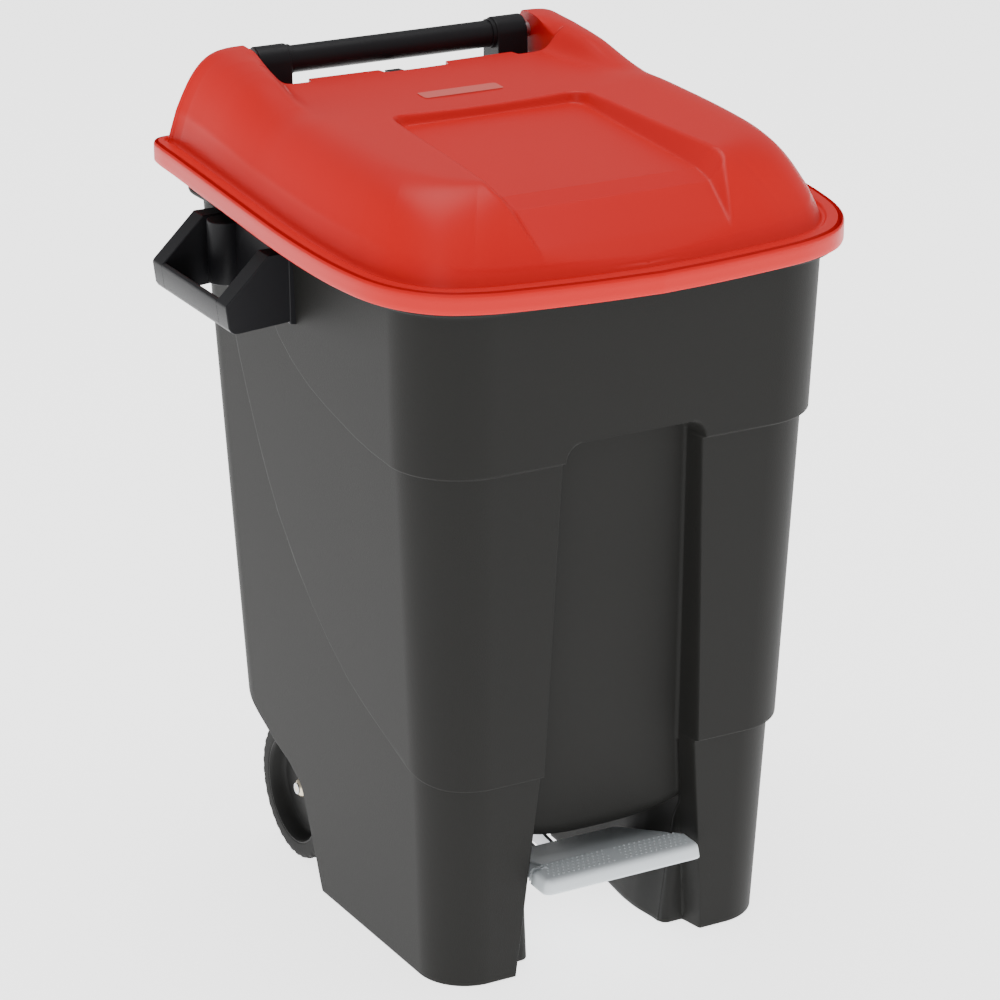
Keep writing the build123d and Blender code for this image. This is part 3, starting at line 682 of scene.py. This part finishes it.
def side_handle():
    """Fixed handle on the right side: two arms, a leaning grip and its base on the container."""
    m = Mesh()
    arm = [(222, 637), (287, 632.4)] + GRIP_OUTER + [(254, 706), (222, 706)]
    m.prism(arm, HANDLE_FRONT, HANDLE_FRONT + ARM_WIDE, axis="y")
    m.prism(arm, HANDLE_BACK - ARM_WIDE, HANDLE_BACK, axis="y")
    # grip and the web that closes the handle below, let 1 mm into the arms
    between = (HANDLE_FRONT + ARM_WIDE - 1, HANDLE_BACK - ARM_WIDE + 1)
    m.prism([(286.5, 633.2)] + GRIP_OUTER + [(296, 663.6), (293.5, 662)], *between, axis="y")
    base = [(222, 632), (233, 634), (233.5, 706), (222, 706)]
    m.prism(base, HANDLE_FRONT - 0.8, HANDLE_BACK + 0.8, axis="y")
    # moulded boss beside the rear arm
    boss = [(239 + 17 * math.cos(t), 150 + 17 * math.sin(t)) for t in np.linspace(-1.9, 1.9, 22)]
    m.prism(boss + [(228, 166), (228, 134)], 641, 705, axis="z")
    m.prism([(266, 634.5), (292, 633), (292, 637), (266, 638.5)], *between, axis="y")
    return m


def mirrored(make, name, material, body, node, sharp=35.0, width=1.2):
    """Right and left copy of a piece made for the +X side, each standing for its own CAD node."""
    for side in ("right", "left"):
        m = make()
        if side == "left":
            m.points = [p * [-1, 1, 1] for p in m.points]
            m.faces = [face[::-1] for face in m.faces]
        obj = m.object(f"{name}_{side}", material, sharp=sharp)
        if width:
            bevel(obj, width)
        own_body = body if body in frame["bodies"] else f"{body}_{side}"
        place(obj, own_body, [f"{node}_{side}"])


mirrored(side_handle, "grip_handle", HANDLE, "body", "side_handle")


# ---------------------------------------------------------------- wheels
TYRE_INNER, TYRE_OUTER, TYRE_R = 141.0, 183.0, 74.35
HUB = (162.0, HUB_Y, HUB_Z)


def tread():
    """Solid tyre with a knurled tread and rounded shoulders."""
    m = Mesh()
    steps, lumps = 720, 36
    # shoulders, as (taken in from the tyre's side, radius)
    outer = [(0.2, 58.6), (0.0, 60.0), (0.0, 68.0), (0.1, 70.0), (0.6, 71.8), (1.8, 73.2), (4.0, 74.1)]
    inner = [(4.0, 74.1), (1.8, 73.2), (0.6, 71.8), (0.1, 70.0), (0.0, 68.0), (0.0, 60.0), (0.8, 57.4)]
    profile = [(TYRE_OUTER - 1, 57.4)] + [(TYRE_OUTER - x, r) for x, r in outer]
    profile += [(x, TYRE_R) for x in np.linspace(177, 147, 31)]
    profile = np.array(profile + [(TYRE_INNER + x, r) for x, r in inner])
    angle = np.linspace(0, 2 * np.pi, steps, endpoint=False)[:, None]
    x = np.repeat(profile[None, :, 0], steps, axis=0)
    radius = np.repeat(profile[None, :, 1], steps, axis=0)
    # knurl: rows of lumps, every other row turned by half a pitch, fading on the shoulders
    row = np.floor((x - TYRE_INNER) / 7.0)
    lump = np.maximum(0.0, np.cos(lumps * angle + np.pi * (row % 2)) + 0.35) ** 0.7
    radius = radius + smooth((radius - 69.0) / 3.0) * (1.05 * np.minimum(lump, 1.0) - 0.45)
    m.grid(np.stack([x, HUB_Y + radius * np.cos(angle), HUB_Z + radius * np.sin(angle)], -1), close_u=True)
    return m


def wheel_middle():
    """Dished wheel centre: deep outer bowl, flat hub face with a bore, ribs on the inner face."""
    m = Mesh()
    bowl = [(182.0, 57.9), (182.6, 57.3), (182.7, 56.6), (182.0, 55.8), (179.0, 54.6), (172.0, 52.6),
            (168.5, 51.4), (166.9, 50.2), (166.3, 48.4), (166.2, 44.0), (166.2, 30.0), (166.4, 15.2),
            (166.2, 13.6), (165.2, 12.8), (163.0, 12.5), (155.0, 12.4), (155.0, 6.2), (141.0, 6.2),
            (141.0, 16.4), (143.0, 17.2), (152.0, 19.0), (157.6, 23.0), (158.6, 30.0), (158.8, 40.0),
            (157.0, 46.5), (150.0, 51.5), (144.0, 54.0), (143.2, 55.4), (143.4, 57.9)]
    m.lathe(bowl, HUB, steps=144)
    ribs = 8
    for k in range(ribs):
        c, s = math.cos(2 * math.pi * k / ribs), math.sin(2 * math.pi * k / ribs)
        rib = []
        for x in (145.5, 157.5):
            for out, across in ((17, -1.5), (54, -1.2), (54, 1.2), (17, 1.5)):
                rib.append((x, HUB_Y + out * c - across * s, HUB_Z + out * s + across * c))
        m.add(rib, [(0, 1, 2, 3), (7, 6, 5, 4), (0, 4, 5, 1), (1, 5, 6, 2), (2, 6, 7, 3), (3, 7, 4, 0)])
    return m


def hub_cap():
    """Domed push-on cap."""
    m = Mesh()
    profile = [(162.0, 0.0), (162.0, 10.2), (169.0, 10.5), (171.6, 10.5), (172.8, 10.2), (174.0, 9.5),
               (175.4, 8.2), (176.8, 6.2), (177.8, 4.2), (178.3, 2.2), (178.5, 0.0)]
    m.lathe(profile, HUB, steps=64)
    return m


mirrored(tread, "tread", RUBBER, "wheel", "tyre", sharp=60, width=0)
mirrored(wheel_middle, "wheel_bowl", WHEEL_PLASTIC, "wheel", "wheel_centre",
         sharp=45, width=0)
mirrored(hub_cap, "hub_dome", NICKEL, "body", "axle_cap", sharp=50, width=0)


# ---------------------------------------------------------------- pedal
TREAD_FRONT, TREAD_BACK, TREAD_HALF, TREAD_Z = -238.4, -199.0, 88.5, 113.0
TREAD_CORNER, TREAD_CUT = 8.0, 6.0
NECK_BACK = -92.4


def tread_outline(inset, flare):
    """Plan of the tread: rounded in front, back corner cut on the right and notched on the left."""
    half, front, back = TREAD_HALF + flare - inset, TREAD_FRONT + inset, TREAD_BACK - inset
    r, cut = max(TREAD_CORNER - inset, 1.0), TREAD_CUT
    turn = np.linspace(0, math.pi / 2, 10)
    pts = [(x, front) for x in np.linspace(-half + r, half - r, 60)]
    pts += [(half - r + r * math.sin(t), front + r - r * math.cos(t)) for t in turn[1:]]
    pts += [(half, y) for y in np.linspace(front + r, back - cut, 12)[1:]]
    pts += [(half - cut * t, back - cut + cut * t) for t in np.linspace(0, 1, 5)[1:]]
    pts += [(x, back) for x in np.linspace(half - cut, -half + cut, 60)[1:]]
    pts += [(-half + cut * t, back - cut * t) for t in np.linspace(0, 1, 5)[1:]]
    pts += [(-half, y) for y in np.linspace(back - cut, front + r, 12)[1:]]
    return pts + [(-half + r - r * math.cos(t), front + r - r * math.sin(t)) for t in turn[1:-1]]


def pedal():
    """Tread: a shallow cap with a deep rounded lip, open below."""
    m = Mesh()
    # levels of the lip, as (taken in, flared out, Z)
    levels = ((0.0, 0.8, 97.5), (0.1, 0.5, 100.0), (0.4, 0.2, 104.0), (0.8, 0.0, 107.5),
              (1.5, 0.0, 109.6), (2.6, 0.0, 111.2), (4.2, 0.0, 112.3), (6.2, 0.0, 112.8),
              (8.5, 0.0, TREAD_Z), (14.0, 0.0, TREAD_Z))
    rings = []
    for inset, flare, z in levels:
        rings.append([(x, y, z) for x, y in tread_outline(inset, flare)])
    m.grid(np.array(rings).transpose(1, 0, 2), close_u=True)
    m.add(rings[-1], [tuple(range(len(rings[-1])))])
    return m


def pedal_neck():
    """Sloping plate behind the tread, with its turned-down edges and two ribs."""
    m = Mesh()
    top = [(-214, 112.9), (-206, 113.04), (-202, 112.6), (-198, 111.6), (-193, 109.9), (-184, 106.7)]
    low = [(-92.2, 67.9), (-150, 89.0), (-188, 103.0), (-199, 107.0), (-206, 109.0), (-214, 109.4)]
    m.prism(top + [(NECK_BACK, 72.9)] + low, -73.5, 73.5)
    edge = [(-206, 112.6), (-200, 111.8), (-190, 108.6), (NECK_BACK, 72.6), (NECK_BACK, 60.5),
            (-199, 93), (-206, 97)]
    m.prism(edge, -74.0, -70.0)
    m.prism(edge, 70.0, 74.0)
    for x in (-42.0, 42.0):
        m.prism([(-200, 107), (-94, 68.6), (-94, 62), (-200, 98)], x - 1.6, x + 1.6)
    return m


def grip_dots():
    """Small domes in two zones of the tread."""
    m = Mesh()
    turn = np.linspace(0, 2 * np.pi, 10, endpoint=False)
    for row in range(5):
        y = TREAD_FRONT + 9.9 + row * 6.0
        for col in range(13):
            for zone in (-1, 1):
                x = zone * (7.0 + col * 5.7 + (2.8 if row % 2 else 0.0))
                dome = []
                for r, h in ((1.25, -0.2), (1.2, 0.25), (0.8, 0.62), (0.0, 0.75)):
                    level = np.full(len(turn), TREAD_Z + h)
                    dome.append(np.stack([x + r * np.cos(turn), y + r * np.sin(turn), level], -1))
                m.grid(np.array(dome), close_v=True, flip=True)
    return m


plate = pedal().object("pedal_tread_plate", PEDAL, sharp=50)
solidify(plate, 3.0)
place(plate, "pedal", ["pedal_tread"])
place(bevel(pedal_neck().object("pedal_neck", PEDAL, sharp=35), 1.0), "pedal")
place(grip_dots().object("pedal_grip_dots", PEDAL, sharp=60, merge=0), "pedal")


# ---------------------------------------------------------------- towers of the push bar
def tower():
    """Post with a round head that holds the push bar and the lid's pin."""
    m = Mesh()
    r = 17.0
    head = [(HINGE_Y + r * math.cos(t), HINGE_Z + r * math.sin(t)) for t in np.linspace(0, math.pi, 33)]
    m.prism(head + [(HINGE_Y - r - 6, TOP + 0.2), (HINGE_Y + r, TOP + 0.2)], 118.0, 153.0)
    return m


mirrored(tower, "bar_tower", HANDLE, "body", "hinge_tower", width=1.6)


# ---------------------------------------------------------------- carried-over CAD pieces
def both(*names):
    return [f"{name}_{side}" for name in names for side in ("left", "right")]


FINISH = (
    (HANDLE, ["push_bar", "lid_cam"] + both("bar_sleeve")),
    (ZINC, ["axle", "pedal_shaft", "pedal_lever", "push_rod"]
     + both("lid_pin", "handle_screw_front", "handle_screw_back")),
    (GUIDE, ["rod_guide_1", "rod_guide_2", "rod_guide_3", "rod_foot", "rod_head"]
     + both("shaft_spacer", "axle_spacer")),
    (RUBBER, both("lid_bumper")),
    (LABEL, ["label_pad"]),
)
for material, nodes in FINISH:
    for node in nodes:
        piece = frame["nodes"][node]
        if not piece.material_slots:
            piece.data.materials.append(material)
        for entry in piece.material_slots:
            entry.material = material


# ---------------------------------------------------------------- scene
def studio():
    """White floor that glows a little, white surroundings and three soft lamps."""
    reach, depth = 9000, -0.5
    floor = Mesh()
    corners = ((-1, -1), (1, -1), (1, 1), (-1, 1))
    floor.add([(x * reach, y * reach, depth) for x, y in corners], [(0, 1, 2, 3)])
    paint = plastic("floor_white", (0.9, 0.9, 0.9), rough=0.8, bump=0.0, vary=0.0)
    shader = next(node for node in paint.node_tree.nodes if node.type == "BSDF_PRINCIPLED")
    shader.inputs["Emission Color"].default_value = (1, 1, 1, 1)
    shader.inputs["Emission Strength"].default_value = 2.4
    floor.object("floor", paint)
    world = bpy.data.worlds.new("studio")
    bpy.context.scene.world = world
    world.use_nodes = True
    sky = world.node_tree.nodes["Background"]
    sky.inputs[0].default_value = (1, 1, 1, 1)
    sky.inputs[1].default_value = 0.45
    # lamps: name, place and size in metres, power in watts
    for name, place_at, size, power in (
        ("key", (-2.6, -3.0, 3.4), 2.5, 30.0),
        ("fill", (3.0, -2.0, 2.2), 3.0, 10.0),
        ("top", (0.0, 0.4, 4.2), 2.5, 95.0),
    ):
        light = bpy.data.lights.new(name, "AREA")
        light.size = size
        light.energy = power
        lamp = bpy.data.objects.new(name, light)
        lamp.location = place_at
        aim = Vector((0, 0, 0.4)) - Vector(place_at)
        lamp.rotation_euler = aim.to_track_quat("-Z", "Y").to_euler()
        bpy.context.scene.collection.objects.link(lamp)


def camera():
    """Three-quarter view from the front left, a little above."""
    turn, rise, distance = math.radians(-28.53), math.radians(21.0), 3.6453
    aim = Vector((-0.0168, -0.011, 0.4219))
    back = Vector((math.sin(turn) * math.cos(rise), -math.cos(turn) * math.cos(rise), math.sin(rise)))
    data = bpy.data.cameras.new("camera")
    data.lens = 130.8
    data.sensor_width = 36.0
    cam = bpy.data.objects.new("camera", data)
    cam.location = aim + back * distance
    cam.rotation_euler = (-back).to_track_quat("-Z", "Y").to_euler()
    bpy.context.scene.collection.objects.link(cam)
    bpy.context.scene.camera = cam


studio()
camera()
